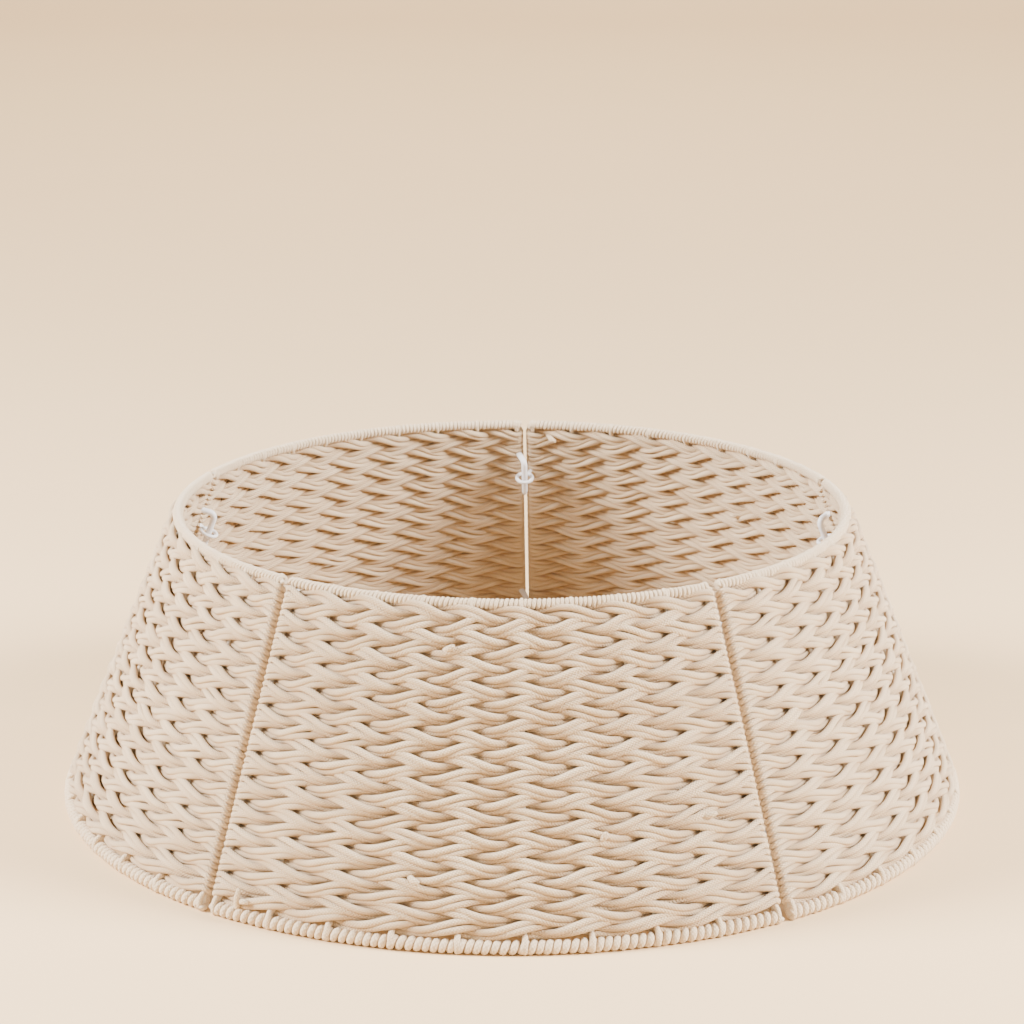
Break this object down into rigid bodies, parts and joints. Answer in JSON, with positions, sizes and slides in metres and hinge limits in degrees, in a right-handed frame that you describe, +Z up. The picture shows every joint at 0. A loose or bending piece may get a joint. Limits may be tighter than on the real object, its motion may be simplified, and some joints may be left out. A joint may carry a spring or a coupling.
{
  "type": "tree skirt",
  "caption": "Cone-shaped Christmas tree collar of woven cotton rope panels on wire frames, hooked together in a ring that hides the tree's stand.",
  "frame": {"origin": "on the floor, at the centre of the ring", "axes": "+Z up along the cone's axis; the front panel faces -Y, and the back seam is on +Y"},
  "size_m": [0.711, 0.711, 0.2311],
  "materials": {
    "woven_rope": "braided cotton, matt",
    "rim_cord": "cotton cord, matt",
    "frame_wire": "satin paint",
    "rib_wire": "satin paint",
    "hook_rod": "satin paint",
    "eye_wire": "satin paint"
  },
  "bodies": {
    "front_panel": {"front_top_wire": "frame_wire", "front_bottom_wire": "frame_wire", "front_legs": "frame_wire", "front_ribs": "rib_wire", "front_weave": "woven_rope", "front_top_wrap": "rim_cord", "front_bottom_wrap": "rim_cord", "front_eyes": "eye_wire"},
    "right_panel": {"right_top_wire": "frame_wire", "right_bottom_wire": "frame_wire", "right_legs": "frame_wire", "right_ribs": "rib_wire", "right_weave": "woven_rope", "right_top_wrap": "rim_cord", "right_bottom_wrap": "rim_cord", "right_hooks": "hook_rod", "right_eyes": "eye_wire"},
    "back_right_panel": {"back_right_top_wire": "frame_wire", "back_right_bottom_wire": "frame_wire", "back_right_legs": "frame_wire", "back_right_ribs": "rib_wire", "back_right_weave": "woven_rope", "back_right_top_wrap": "rim_cord", "back_right_bottom_wrap": "rim_cord", "back_right_hooks": "hook_rod", "back_right_eyes": "eye_wire"},
    "back_left_panel": {"back_left_top_wire": "frame_wire", "back_left_bottom_wire": "frame_wire", "back_left_legs": "frame_wire", "back_left_ribs": "rib_wire", "back_left_weave": "woven_rope", "back_left_top_wrap": "rim_cord", "back_left_bottom_wrap": "rim_cord", "back_left_hooks": "hook_rod", "back_left_eyes": "eye_wire"},
    "left_panel": {"left_top_wire": "frame_wire", "left_bottom_wire": "frame_wire", "left_legs": "frame_wire", "left_ribs": "rib_wire", "left_weave": "woven_rope", "left_top_wrap": "rim_cord", "left_bottom_wrap": "rim_cord", "left_hooks": "hook_rod", "left_eyes": "eye_wire"},
    "front_hook_pair": {"front_hooks": "hook_rod"}
  },
  "joints": [
    {"name": "right_panel_fold", "type": "hinge", "parent": "back_right_panel", "child": "right_panel", "pos_m": [0.25049, 0.08139, 0.17873], "axis": [-0.3573, -0.1161, 0.9267], "range_deg": [0, 8]},
    {"name": "front_panel_fold", "type": "hinge", "parent": "right_panel", "child": "front_panel", "pos_m": [0.15481, -0.21308, 0.17873], "axis": [-0.2208, 0.304, 0.9267], "range_deg": [0, 8]},
    {"name": "back_left_panel_fold", "type": "hinge", "parent": "back_right_panel", "child": "back_left_panel", "pos_m": [0, 0.26338, 0.17873], "axis": [0, 0.3757, -0.9267], "range_deg": [0, 8]},
    {"name": "left_panel_fold", "type": "hinge", "parent": "back_left_panel", "child": "left_panel", "pos_m": [-0.25049, 0.08139, 0.17873], "axis": [-0.3573, 0.1161, -0.9267], "range_deg": [0, 8]},
    {"name": "front_hooks_lift", "type": "slide", "parent": "front_panel", "child": "front_hook_pair", "axis": [0.2208, 0.304, 0.9267], "range_m": [-0.022, 0]}
  ]
}
